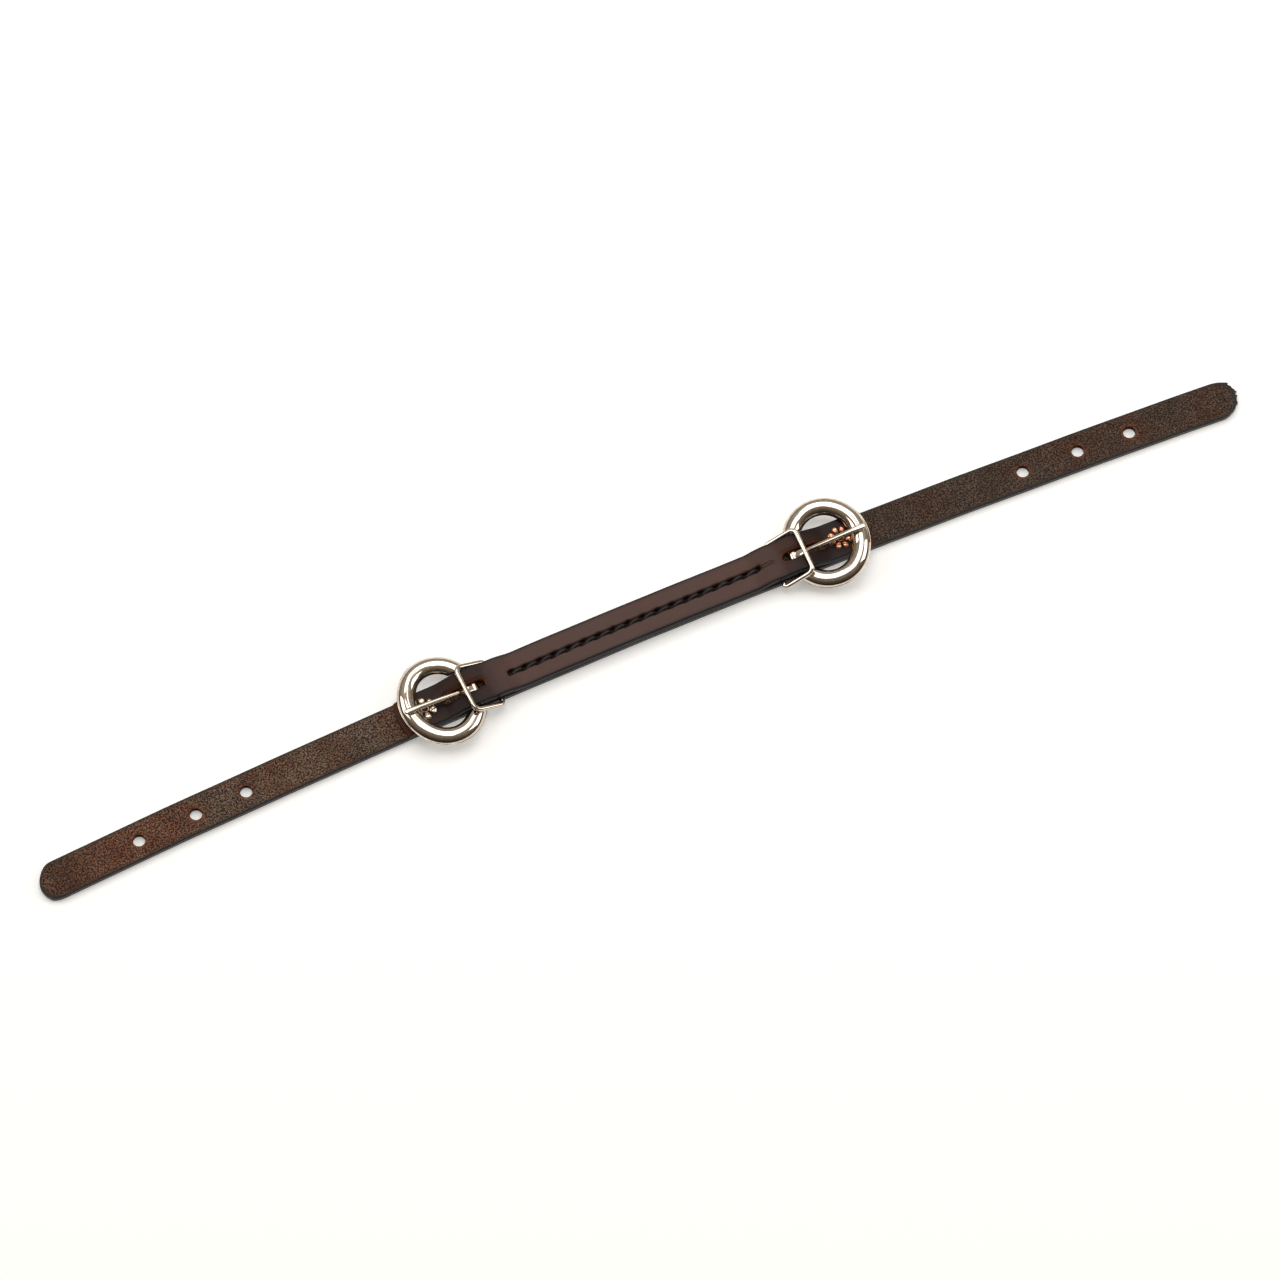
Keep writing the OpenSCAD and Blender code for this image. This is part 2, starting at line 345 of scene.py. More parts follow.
burnish = sheet.verts.layers.float.new("burnish")
dye = sheet.verts.layers.float.new("dye")
oil = sheet.verts.layers.float.new("oil")
raw = sheet.verts.layers.float.new("raw")
for vert in sheet.verts:
    flat = vert.co.copy()
    top = flat.z / LEATHER_T
    away, axis = min((from_slot(flat, slot) for slot in under_slots),
                     key=lambda pair: pair[0].length)
    rim = away.length - HOLE_R
    if 0 < rim < HOLE_BEVEL and top < 0.25:
        # A punched hole has no bevel at its foot, so the wall goes straight down there.
        flat.xy = (axis + away.normalized() * HOLE_R).xy
    s, across = round_tip(flat)
    depth = inset(s, across, half_len, HALF_W)
    hole_wall_shade = smooth_step(0.25, 0.05, rim) * smooth_step(0.98, 0.8, top)
    vert[burnish] = smooth_step(1.5, 0.2, depth)
    vert[raw] = smooth_step(1.3, 0.2, rim) * 0.35 * smooth_step(0.8, 1, top)
    vert[oil] = sum(amount * math.exp(-((s - place) / spread) ** 2)
                    for place, spread, amount in OIL_PATCHES)
    # The right billet took more dye than the left one, and so did the left tip.
    vert[dye] = 0.05 + 0.42 * smooth_step(60, 110, s) + 0.3 * smooth_step(238, 250, -s)
    # Inside the punched holes the mask is full, which darkens the walls: this is painted shade,
    # not dye.
    vert[dye] = max(vert[dye], hole_wall_shade)
    press = 0.32 * math.exp(-(max(rim, 0) / 0.8) ** 2)
    up = flat.z + (press if top < 0.1 else -press if top > 0.9 else 0)
    if top < 0.1:
        up += groove(s, across)
    s -= ragged(s, across)
    worn = smooth_step(7, 0, half_len - abs(s)) * 0.35
    up = up * (1 - worn * smooth_step(0, 1, top) * 0.5) + 0.05
    vert.co = on_bow(s, across + wander(s, 1, 0.1), up)

bmesh.ops.recalc_face_normals(sheet, faces=sheet.faces)
for face in sheet.faces:
    face.material_index = 1 if face.normal.z < -0.8 and face.calc_center_median().z < 1 else 0
under_strap = to_piece(sheet, "under_strap_leather")

# %% [markdown]
# ## The cover strap
#
# The shorter strap is stitched on top, grain side up. It climbs over the keeper's wire and the
# buckle's bar, which are caught between the two layers, and comes down again inside the ring,
# where a rivet holds it. A long slot lets the tongue through, and the end is skived thin.
# Two more masks go with it: one paints near-black shade into the sewn groove, the awl holes and
# the pricked slit, and one paints a paler sheen, a painted highlight, over the middle.
# The climb is a formula, so that the leather keeps its thickness at right angles to the bend.

# %% Cover strap: sizes
COVER_END = to_s(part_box("cover_strap")[1][0] / MM) - RING_S["right"]
BAR_R = 1.2
KEEPER_R = 1.0
SEAM_GAP = 0.05
WIRE_RISE = KEEPER_Z + KEEPER_R + SEAM_GAP - LEATHER_T
BAR_RISE = BAR_Z + BAR_R + SEAM_GAP - LEATHER_T
SLOT = (-18.8, -0.4, 2.2)
COVER_MARGIN = 0.8
RIVET_R = 1.75
RIVET_MARGIN = SLOT[2] + COVER_MARGIN - RIVET_R
SLIT_S = 57.8
SLIT_HALF = 2.8
CREASE_Y = -2.7
HUMP = ((-33.6, 0), (-24.1, WIRE_RISE), (-20.6, WIRE_RISE), (-15.8, BAR_RISE),
        (-11.3, BAR_RISE), (1.2, 0), (30, 0))


def middle_of(name):
    low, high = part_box(name)
    return to_s((low[0] + high[0]) / 2 / MM)


RIVET_X = {side: end_place(middle_of(side + "_rivet"))[1] for side in SIDES}
print("rivets outward of the ring centres:", {side: round(RIVET_X[side], 2) for side in SIDES})


def rise(x):
    """Height of the cover strap's underside above the under strap, x outward from the ring."""
    for (x_low, low), (x_high, high) in zip(HUMP, HUMP[1:]):
        if x_low <= x <= x_high:
            return low + (high - low) * smooth_step(x_low, x_high, x)
    return 0


def over_hardware(x, up):
    """Where a point of the cover strap goes, at height up above its own underside."""
    slope = (rise(x + 0.05) - rise(x - 0.05)) / 0.1
    size = math.hypot(1, slope)
    return x - up * slope / size, LEATHER_T + rise(x) + up / size


# %% Cover strap: mesh
cover_rows = mirrored([0, 0.25, 0.5, 0.8, 1.1, 1.5, 1.9, 2.4, SLOT[2] + COVER_MARGIN, 3.9, 4.9,
                       6.0, 7.0, HALF_W])
cover_breaks = [SLIT_S + SLIT_HALF * (i / 10 - 1) for i in range(21)]
cover_slots = []
for side in SIDES:
    rivet = (RIVET_X[side] - RIVET_R, RIVET_X[side] + RIVET_R, RIVET_R)
    for (low, high, radius), margin in ((SLOT, COVER_MARGIN), (rivet, RIVET_MARGIN)):
        ends = sorted((strap_s(side, low), strap_s(side, high)))
        cover_slots.append((ends[0], ends[1], radius))
        cover_breaks += [strap_s(side, low - margin), strap_s(side, high + margin)]
    cover_breaks += [strap_s(side, COVER_END - 6), strap_s(side, COVER_END)]
cover_columns = stations(sorted(cover_breaks), 0.65)

cover = flat_sheet(cover_columns, cover_rows)
for slot in cover_slots:
    punch(cover, slot, SLOT[2] + COVER_MARGIN - slot[2], 0.4)
thicken(cover, LEATHER_T, 0.55)


# %% Cover strap: shape and wrap
END_ARC_R = 26
SKIVE_FROM = COVER_END - 3.2


def slit_mark(s, across):
    """A pricked slit that was never sewn: a shallow outline with a raised middle."""
    side = across - 0.06 * (s - SLIT_S)
    away = math.hypot(max(abs(s - SLIT_S) - 1.75, 0), side) - 0.55
    return math.exp(-(away / 0.24) ** 2)


burnish = cover.verts.layers.float.new("burnish")
raw = cover.verts.layers.float.new("raw")
wax = cover.verts.layers.float.new("wax")
bloom = cover.verts.layers.float.new("bloom")
for vert in cover.verts:
    flat = vert.co.copy()
    s, across = flat.x, flat.y
    side, x = end_place(s)
    top = flat.z / LEATHER_T
    rim = min(from_slot(flat, slot)[0].length - slot[2] for slot in cover_slots)
    bow_end = END_ARC_R - math.sqrt(END_ARC_R ** 2 - across ** 2)
    to_end = COVER_END - x
    vert[burnish] = smooth_step(1.3, 0.3, HALF_W - abs(across))
    vert[raw] = max(smooth_step(0.75, 0.15, rim) * smooth_step(1.02, 0.6, top),
                    smooth_step(2.8, 0.8, to_end) * 0.22)
    # Painted highlight: the middle of the strap is painted paler, as a sheen, fading out between
    # 52 and 74 mm from the middle.
    vert[bloom] = smooth_step(74, 52, abs(s))
    up = flat.z
    if top > 0.9:
        slit = slit_mark(s, across)
        # Painted shade: the groove, the awl holes and the slit's outline are darkened to
        # near-black.
        vert[wax] = max(smooth_step(0.1, 0.6, groove(s, across)), 0.75 * slit)
        up -= groove(s, across) + 0.3 * slit
        # A creaser's line beside the row, then the pull of each stitch on the leather round it.
        up -= 0.12 * math.exp(-((across - CREASE_Y) / 0.35) ** 2) * to_row(s)
        up -= 0.25 * math.exp(-((across - row_line(s)) / 1.9) ** 2) * awl_hole(s, row_line(s))
        # Punched rims are pressed down, and the whole face is a little uneven.
        up -= 0.3 * math.exp(-(max(rim, 0) / 0.7) ** 2)
        up += 0.06 * math.sin(s / 5.1) * math.cos(across / 2.3)
    up *= 1 - 0.55 * smooth_step(SKIVE_FROM, COVER_END, x)
    x -= bow_end * smooth_step(COVER_END - 6, COVER_END, x)
    x, height = over_hardware(x, up)
    vert.co = on_bow(strap_s(side, x), across + wander(s, 3, 0.07), height)

cover_strap = to_piece(cover, "cover_strap_leather")

# %% [markdown]
# ## Sweeping a section along a path
#
# The tongue, the keeper's wire, the rivet's petals and the plies of the thread are all a small
# section carried along a path. One helper does them: it makes a circle, extrudes its edges for
# each station and sets the new ring's size. Squareness 0 keeps the section round, and 1 pushes
# it out towards a rounded rectangle.

# %% Sweep
def section(centre, tangent, side, half_w, half_h, square, count, start):
    """Points of one ring of a swept shape, across the tangent."""
    normal = tangent.cross(side).normalized()
    across = normal.cross(tangent).normalized()
    power = 1 - 0.55 * square
    points = []
    for i in range(count):
        angle = start + math.tau * i / count
        u, v = math.cos(angle), math.sin(angle)
        u = math.copysign(abs(u) ** power, u)
        v = math.copysign(abs(v) ** power, v)
        points.append(centre + across * u * half_w + normal * v * half_h)
    return points


def sweep(bm, path, side, count=12, closed=False):
    """path holds (centre, half width, half height, squareness) for each station."""
    centres = [Vector(stop[0]) for stop in path]
    last = len(path) - 1
    rings = []
    for i, (centre, half_w, half_h, square) in enumerate(path):
        before = centres[i - 1] if i or closed else centres[0]
        after = centres[(i + 1) % len(path)] if i < last or closed else centres[last]
        tangent = (after - before).normalized()
        rings.append(section(centres[i], tangent, Vector(side), half_w, half_h, square, count,
                             math.pi / count))
    first = bmesh.ops.create_circle(bm, segments=count, radius=1)["verts"]
    for vert, point in zip(first, rings[0]):
        vert.co = point
    ring = list(first)
    for points in rings[1:]:
        edges = [bm.edges.get((ring[i - 1], ring[i])) for i in range(count)]
        made = bmesh.ops.extrude_edge_only(bm, edges=edges)["geom"]
        fresh = [item for item in made if isinstance(item, bmesh.types.BMVert)]
        old = set(ring)
        twin = {edge.other_vert(vert): vert for vert in fresh for edge in vert.link_edges
                if edge.other_vert(vert) in old}
        ring = [twin[vert] for vert in ring]
        for vert, point in zip(ring, points):
            vert.co = point
    start = [bm.edges.get((first[i - 1], first[i])) for i in range(count)]
    finish = [bm.edges.get((ring[i - 1], ring[i])) for i in range(count)]
    if closed:
        bmesh.ops.bridge_loops(bm, edges=start + finish)
    else:
        bmesh.ops.contextual_create(bm, geom=list(first))
        bmesh.ops.contextual_create(bm, geom=ring)


# %% [markdown]
# ## The thread
#
# A lockstitch has one thread on each face of the work. Each is waxed black linen, two plies
# twisted together, and every stitch lies a little slantwise in the groove and dives into the
# awl hole at either end. The plies are swept as two helices, so the twist is real geometry.

# %% Thread
PLY_R = 0.52
HEAVY = 1.25
TWIST = 2.4
PLY_ASIDE = 0.38
PLY_UP = 0.28
STITCH_SPAN = 0.76
STITCH_SLANT = 1.5
STITCH_SINK = 0.3
DIVE_DEPTH = 1.5
STITCH_STEPS = 14


def stitch_row(name, surface, sign, heavy=()):
    """A row of stitches on the face at height surface; sign is 1 on top and -1 below."""
    bm = bmesh.new()
    for index, (s_from, s_to) in enumerate(zip(stitch_s, stitch_s[1:])):
        for ply in (0, math.pi):
            path = []
            size = PLY_R * (HEAVY if index in heavy else 1)
            for i in range(STITCH_STEPS + 1):
                t = i / STITCH_STEPS
                dive = 1 - math.sin(math.pi * t) ** 0.8
                s = (s_from + s_to) / 2 + (s_to - s_from) * STITCH_SPAN * (t - 0.5)
                angle = ply + math.tau * (s_to - s_from) * t / TWIST
                slant = STITCH_SLANT * (t - 0.5) * sign
                across = row_line(s) + slant + PLY_ASIDE * math.sin(angle)
                up = surface + sign * (PLY_UP * math.cos(angle) - STITCH_SINK - DIVE_DEPTH * dive)
                path.append((on_bow(s, across, up), size, size, 0))
            sweep(bm, path, (0, 1, 0), count=7)
    bmesh.ops.recalc_face_normals(bm, faces=bm.faces)
    return to_piece(bm, name)


NEEDLE_UP = 2 * LEATHER_T - 0.3
BOBBIN_UP = 0.78
needle = stitch_row("needle_thread_stitches", NEEDLE_UP, 1, heavy=(3, STITCHES - 1))
bobbin = stitch_row("bobbin_thread_stitches", BOBBIN_UP, -1)

# %% [markdown]
# ## The ring
#
# The buckle's ring is cast brass, nickel plated: a domed section on top, nearly flat inside and
# below. Its oval is four arcs that meet in line, so a spin about each arc's centre in turn
# draws the whole of it. The ring is then cut away where the straps pass, and a round bar
# closes it.

# %% Ring: section
RING_ALONG = 14.1
RING_ACROSS = 15.8
RING_C = (RING_ACROSS - RING_ALONG) / (2 - math.sqrt(2))
SECTION_HALF = 3.8
DOME_R = 4.0
DOME = 2.6
BELOW = 1.5
RIM_CLEAR = 0.95
PASSAGE = 9.2
TILT = math.atan((2 * LEATHER_T + BELOW + RIM_CLEAR - BAR_Z) / (RING_ALONG + BAR_IN))
SECTION_POINTS = 48


def ring_profile(bm, centre, radius, angle):
    """The ring's section, standing on the oval at an angle about an arc's centre."""
    out = Vector((math.cos(angle), math.sin(angle), 0))
    made = bmesh.ops.create_circle(bm, segments=SECTION_POINTS, radius=1)["verts"]
    for i, vert in enumerate(made):
        turn = math.tau * i / SECTION_POINTS
        u, v = math.cos(turn), math.sin(turn)
        if v > 0:
            u = math.copysign(abs(u) ** 0.85, u) * SECTION_HALF
            v = math.sqrt(DOME_R ** 2 - u * u) - (DOME_R - DOME)
        else:
            u = math.copysign(abs(u) ** 0.7, u) * SECTION_HALF
            v = -abs(v) ** 0.6 * (BELOW + 0.15) + 0.15 * abs(math.cos(turn))
        vert.co = Vector(centre) + out * (radius + u) + Vector((0, 0, v))
    return list(bm.verts) + list(bm.edges)


# %% Ring: spin, cut and close with the bar
ARC_STEPS = 26
PAST_CUT = 2
BAR_SIDE = -4
RIM_BEVEL = 0.6
COLLAR_R = 1.5
BAR_ENDS = [(PASSAGE + 1.2, BAR_R), (PASSAGE + 0.1, COLLAR_R), (PASSAGE - 0.5, BAR_R + 0.05),
            (PASSAGE - 1.1, BAR_R)]


def make_ring(name, matrix):
    bm = bmesh.new()
    long_r = RING_ALONG + RING_C
    start = math.asin((PASSAGE - PAST_CUT) / long_r)
    arcs = [((RING_C, 0, 0), math.pi / 4 - start), ((0, -RING_C, 0), math.pi / 2),
            ((-RING_C, 0, 0), math.pi / 2), ((0, RING_C, 0), math.pi / 2),
            ((RING_C, 0, 0), math.pi / 4 - start)]
    geom = ring_profile(bm, (RING_C, 0, 0), long_r, math.pi + start)
    for centre, turn in arcs:
        steps = max(4, round(ARC_STEPS * turn / (math.pi / 2)))
        made = bmesh.ops.spin(bm, geom=geom, cent=centre, axis=(0, 0, 1), angle=turn, steps=steps,
                              use_merge=False, use_normal_flip=False, use_duplicate=False)
        geom = made["geom_last"]
    bmesh.ops.remove_doubles(bm, verts=bm.verts, dist=0.001)
    for turn in (-1, 1):
        near = [face for face in bm.faces if face.calc_center_median().x < BAR_SIDE
                and face.calc_center_median().y * turn > 0]
        near += list({edge for face in near for edge in face.edges})
        near += list({vert for edge in near if isinstance(edge, bmesh.types.BMEdge)
                      for vert in edge.verts})
        bmesh.ops.bisect_plane(bm, geom=near, plane_co=(0, turn * PASSAGE, 0),
                               plane_no=(0, turn, 0), clear_inner=True)
    rims = [edge for edge in bm.edges if edge.is_boundary]
    bmesh.ops.holes_fill(bm, edges=rims, sides=0)
    rims = [edge for edge in bm.edges if len(edge.link_faces) == 2
            and max(len(face.verts) for face in edge.link_faces) > 8]
    bmesh.ops.bevel(bm, geom=rims, offset=RIM_BEVEL, offset_type="OFFSET", segments=3,
                    profile=0.5, affect="EDGES", clamp_overlap=True, material=-1)
    stops = [(-y, r) for y, r in BAR_ENDS] + BAR_ENDS[::-1]
    sweep(bm, [((-BAR_IN, y, 0), r, r, 0) for y, r in stops], (1, 0, 0), count=20)
    bmesh.ops.recalc_face_normals(bm, faces=bm.faces)
    return to_piece(bm, name, matrix)


def hinged(side, tilt):
    """Frame of a piece that turns on the bar, tilted up towards its outer end."""
    return (END[side] @ Matrix.Translation((-BAR_IN, 0, BAR_Z))
            @ Matrix.Rotation(-tilt, 4, "Y"))


rings = {side: make_ring(side + "_ring_nickel",
                         hinged(side, TILT) @ Matrix.Translation((BAR_IN, 0, 0)))
         for side in SIDES}

# %% [markdown]
# ## The tongue
#
# The tongue is nickel-plated wire. One end is beaten flat and rolled round the bar, which
# leaves a squarish root, and beyond a small shoulder the round shaft runs out to a slightly
# flattened tip that rests on the ring.

# %% Tongue
ROLL_R = 2.1
ROLL_HALF = 1.9
ROLL_BORE = 1.25
TONGUE_R = 1.0
TONGUE_TURN = {"left": 1.5, "right": -3}
RIM_TOP = 2 * LEATHER_T + BELOW + RIM_CLEAR + DOME
TONGUE_LIFT = 1.2
TONGUE_GAP = 0.12
TONGUE_TILT = math.atan((RIM_TOP + TONGUE_R + TONGUE_GAP - BAR_Z - TONGUE_LIFT)
                        / (RING_ALONG + BAR_IN))


def make_tongue(name, aside, matrix):
    bm = bmesh.new()
    wall = (ROLL_R - ROLL_BORE) / 2
    profile = bmesh.ops.create_circle(bm, segments=20, radius=1)["verts"]
    for i, vert in enumerate(profile):
        turn = math.tau * i / 20
        u, v = math.cos(turn), math.sin(turn)
        u = math.copysign(abs(u) ** 0.35, u)
        v = math.copysign(abs(v) ** 0.5, v)
        vert.co = (ROLL_BORE + wall * (1 + v), ROLL_HALF * u, 0)
    bmesh.ops.spin(bm, geom=list(profile) + list(bm.edges), cent=(0, 0, 0), axis=(0, 1, 0),
                   angle=math.tau, steps=40, use_merge=True, use_normal_flip=False,
                   use_duplicate=False)
    # Stations outward of the bar: distance, half width, half height and squareness.
    shaft = [(0.1, 1.5, 0.55, 0.8), (0.5, 1.7, 0.72, 0.8), (3.0, 1.7, 0.75, 0.8),
             (5.5, 1.62, 0.78, 0.7), (6.0, 1.45, 0.78, 0.6), (6.3, 1.0, 0.85, 0.2),
             (6.8, 0.9, 0.88, 0.3), (14, 0.98, 0.94, 0.4), (22, 1.04, 0.95, 0.4),
             (25, 1.08, 0.95, 0.4), (26.6, 1.16, 0.86, 0.2), (28, 1.24, 0.74, 0.35),
             (30.4, 1.22, 0.66, 0.4), (31.2, 1.1, 0.58, 0.3), (31.55, 0.8, 0.42, 0),
             (31.7, 0.35, 0.2, 0)]
    turned = Matrix.Rotation(math.radians(aside), 4, "Z")
    sweep(bm, [(turned @ Vector((along, 0, TONGUE_LIFT)), w, h, square)
               for along, w, h, square in shaft], (0, 1, 0), count=20)
    bmesh.ops.recalc_face_normals(bm, faces=bm.faces)
    return to_piece(bm, name, matrix)


tongues = {side: make_tongue(side + "_tongue_nickel", TONGUE_TURN[side],
                             hinged(side, TONGUE_TILT))
           for side in SIDES}

# %% [markdown]
# ## The keeper
#
# The keeper is a closed loop of 2 mm nickel-plated wire. Its lower wire is caught in the seam
# between the straps, and the rest stands round them and leans out over the tongue's root.
# The loop is drawn flat as straight runs and quarter bends, and then tipped about that wire.

# %% Keeper
KEEPER_LEN = 13.7
KEEPER_HALF = 10.0
KEEPER_ASIDE = 0.8
KEEPER_LEAN = math.radians(26.5)
FOOT_BEND = 1.3
TOP_BEND = 2.6


def keeper_path():
    """Wire centres: x from the lower wire to the top wire, y across the strap."""
    def corner(x, y, radius, from_angle):
        return [(x + radius * math.cos(from_angle + math.pi / 2 * i / 6),
                 y + radius * math.sin(from_angle + math.pi / 2 * i / 6)) for i in range(7)]
    far = KEEPER_LEN - TOP_BEND
    points = [(0, y) for y in (4.5, 0, -4.5)]
    points += corner(FOOT_BEND, -KEEPER_HALF + FOOT_BEND, FOOT_BEND, math.pi)
    points += [(5, -KEEPER_HALF)]
    points += corner(far, -KEEPER_HALF + TOP_BEND, TOP_BEND, 1.5 * math.pi)
    points += [(KEEPER_LEN, y) for y in (-3, 0, 3)]
    points += corner(far, KEEPER_HALF - TOP_BEND, TOP_BEND, 0)
    points += [(5, KEEPER_HALF)]
    points += corner(FOOT_BEND, KEEPER_HALF - FOOT_BEND, FOOT_BEND, math.pi / 2)
    return points


def make_keeper(name, matrix):
    bm = bmesh.new()
    path = [((x, y, 0), KEEPER_R, KEEPER_R, 0.35) for x, y in keeper_path()]
    sweep(bm, path, (0, 0, 1), count=16, closed=True)
    bmesh.ops.recalc_face_normals(bm, faces=bm.faces)
    return to_piece(bm, name, matrix)


keepers = {side: make_keeper(side + "_keeper_wire",
                             END[side] @ Matrix.Translation(
                                 (keeper_at.x, -SIGN[side] * KEEPER_ASIDE, KEEPER_Z))
                             @ Matrix.Rotation(-KEEPER_LEAN, 4, "Y"))
           for side in SIDES}

# %% [markdown]
# ## The rivet
#
# A tubular rivet comes up through both straps. Its split end is rolled over a star setter, so
# it opens into petals that curl back into the leather. The flat head sits flush underneath.

# %% Rivet
# For each side: how many petals, the first one's angle in degrees, and the spread of the star.
PETALS = {"left": (6, 28, 1.12), "right": (8, 12, 1.2)}
RIVET_TOP = 2 * LEATHER_T
STAR_ROUND = 6.4
CURL_MID = 3.1
CURL_R = 1.35
CURL_RISE = 0.95
CURL_SINK = 0.55
PETAL_STEPS = 9


def make_rivet(name, petals, first, spread, matrix):
    bm = bmesh.new()
    width = STAR_ROUND / petals * spread
    for i in range(petals):
        turn = Matrix.Rotation(math.radians(first) + math.tau * i / petals, 4, "Z")
        path = []
        for step in range(PETAL_STEPS + 1):
            t = step / PETAL_STEPS
            curl = math.pi * (0.02 + 1.02 * t)
            reach = (CURL_MID - CURL_R * math.cos(curl)) * spread
            up = RIVET_TOP - CURL_SINK + CURL_RISE * math.sin(curl) - 0.25 * t
            half = width * (0.55 + 0.5 * math.sin(math.pi * t) ** 2 + 0.1 * t)
            path.append((turn @ Vector((reach, 0, up)), half, 0.24, 0.4))
        sweep(bm, path, turn @ Vector((0, 1, 0)), count=10)
    # Half section of the tube and its head: distance from the axis, and height.
    tube = [(1.2, 1.0), (1.2, RIVET_TOP - 0.6), (1.3, RIVET_TOP - 0.1), (1.5, RIVET_TOP + 0.1),
            (1.7, RIVET_TOP - 0.2), (1.75, RIVET_TOP - 1.2), (1.75, 1.15), (4.3, 0.95),
            (4.4, 0.6), (4.2, 0.2), (3.6, 0.05), (0.0, 0.02)]
    verts = [bm.verts.new((r, 0, z)) for r, z in tube + [(0.0, 1.0)]]
    edges = [bm.edges.new(pair) for pair in zip(verts, verts[1:])]
    edges.append(bm.edges.new((verts[-1], verts[0])))
    bmesh.ops.spin(bm, geom=verts + edges, cent=(0, 0, 0), axis=(0, 0, 1), angle=math.tau,
                   steps=32, use_merge=True, use_normal_flip=False, use_duplicate=False)
    bmesh.ops.remove_doubles(bm, verts=bm.verts, dist=0.0005)
    loose = [edge for edge in bm.edges if not edge.link_faces]
    bmesh.ops.delete(bm, geom=loose, context="EDGES")
    bmesh.ops.recalc_face_normals(bm, faces=bm.faces)
    return to_piece(bm, name, matrix)


rivets = {side: make_rivet(side + "_rivet_star", *PETALS[side],
                           END[side] @ Matrix.Translation((RIVET_X[side], 0, 0)))
          for side in SIDES}

# %% [markdown]
# ## Materials
#
# Colours are sRGB hex values, turned to linear by one function, and one small helper adds a node
# with its settings and links. Patterns read Object coordinates, which are metres here, so a noise
# scale of 1000 gives grains of about 1 mm.

# %% Material helpers
def linear(hex_code):
    """An sRGB hex colour as the linear RGBA that Blender's sockets take."""
    def channel(value):
        return value / 12.92 if value <= 0.04045 else ((value + 0.055) / 1.055) ** 2.4
    return tuple(channel(int(hex_code[i:i + 2], 16) / 255) for i in (1, 3, 5)) + (1,)


def node(tree, kind, inputs=None, **settings):
    """Adds a node. Inputs are values, or (node, output) pairs to link from."""
    made = tree.nodes.new("ShaderNode" + kind)
    for name, value in settings.items():
        setattr(made, name, value)
    for key, value in (inputs or {}).items():
        if isinstance(value, tuple) and len(value) == 2 and isinstance(value[0], bpy.types.Node):
            tree.links.new(value[0].outputs[value[1]], made.inputs[key])
        else:
            made.inputs[key].default_value = value
    return made


def new_material(name):
    material = bpy.data.materials.new(name)
    material.use_nodes = True
    tree = material.node_tree
    shader = tree.nodes["Principled BSDF"]
    where = (node(tree, "TexCoord"), "Object")
    return material, tree, shader, where


def grains(tree, where, size_mm, detail=2.0, rough=0.5, stretch=None):
    """Noise whose grains are about size_mm across, as a (node, output) pair."""
    if stretch:
        where = (node(tree, "Mapping", {"Vector": where, "Scale": stretch}), "Vector")
    return (node(tree, "TexNoise", {"Vector": where, "Scale": 1000 / size_mm, "Detail": detail,
                                    "Roughness": rough}), "Fac")


def ramp(tree, factor, *stops):
    """A colour ramp. Each stop is a position and a hex colour or a grey from 0 to 1."""
    made = node(tree, "ValToRGB", {"Fac": factor})
    elements = made.color_ramp.elements
    while len(elements) < len(stops):
        elements.new(0.5)
    for element, (position, value) in zip(elements, stops):
        element.position = position
        element.color = linear(value) if isinstance(value, str) else (value, value, value, 1)
    return made, "Color"


def mix(tree, factor, a, b, blend="MIX"):
    """Mixes two colours, each a hex value or a (node, output) pair."""
    a, b = (linear(c) if isinstance(c, str) else c for c in (a, b))
    return (node(tree, "MixRGB", {"Fac": factor, "Color1": a, "Color2": b}, blend_type=blend),
            "Color")


def mask(tree, name):
    return (node(tree, "Attribute", attribute_name=name), "Fac")


def finish_surface(tree, shader, colour, roughness, height, depth_mm):
    """Links colour and roughness, and a bump whose full height is depth_mm."""
    bump = node(tree, "Bump", {"Height": height, "Strength": 1.0, "Distance": depth_mm * MM})
    tree.links.new(colour[0].outputs[colour[1]], shader.inputs["Base Color"])
    tree.links.new(roughness[0].outputs[roughness[1]], shader.inputs["Roughness"])
    tree.links.new(bump.outputs["Normal"], shader.inputs["Normal"])


# %% [markdown]
# ### Flesh-side leather
#
# The flesh side of a dyed strap is a mat of short fibres pressed down with gum. Dye sinks in
# unevenly, so near-black hollows lie between brown and grey-tan fibre tips, and whole patches
# turn redder where oil has taken the dye thin. The slicked edges are smooth and nearly black.

# %% Flesh-side leather
def flesh_leather():
    material, tree, shader, where = new_material("veg_tan_flesh_side")
    fibre = grains(tree, where, 0.62, detail=2.0, rough=0.6)
    specks = grains(tree, where, 0.8, detail=1.0, rough=0.5)
    cloud = grains(tree, where, 8, detail=2.0)
    patch = grains(tree, where, 22, detail=2.0)
    base = ramp(tree, fibre, (0.42, "#120d0a"), (0.50, "#36281f"), (0.57, "#7b6453"))
    warm = ramp(tree, fibre, (0.42, "#160b07"), (0.50, "#43261a"), (0.57, "#8a563a"))
    redness = ramp(tree, patch, (0.40, 0.0), (0.66, 0.8))
    colour = mix(tree, redness, base, warm)
    colour = mix(tree, mask(tree, "oil"), colour, warm)
    tips = ramp(tree, specks, (0.52, 0.0), (0.66, 1.0))
    worn = ramp(tree, cloud, (0.38, 0.15), (0.60, 0.8))
    tips_here = mix(tree, 1.0, tips, worn, "MULTIPLY")
    colour = mix(tree, tips_here, colour, "#8b7768")
    # Dark where the dye lies thickest, and painted shade on the walls of the punched holes.
    colour = mix(tree, mask(tree, "dye"), colour, "#1d1714")
    colour = mix(tree, mask(tree, "burnish"), colour, "#302b28")
    colour = mix(tree, mask(tree, "raw"), colour, "#8a4a28")
    roughness = ramp(tree, fibre, (0.3, 0.55), (0.7, 0.85))
    roughness = mix(tree, mask(tree, "burnish"), roughness, "#7f7f7f")
    shader.inputs["Specular IOR Level"].default_value = 0.15
    finish_surface(tree, shader, colour, roughness, fibre, 0.35)
    return material
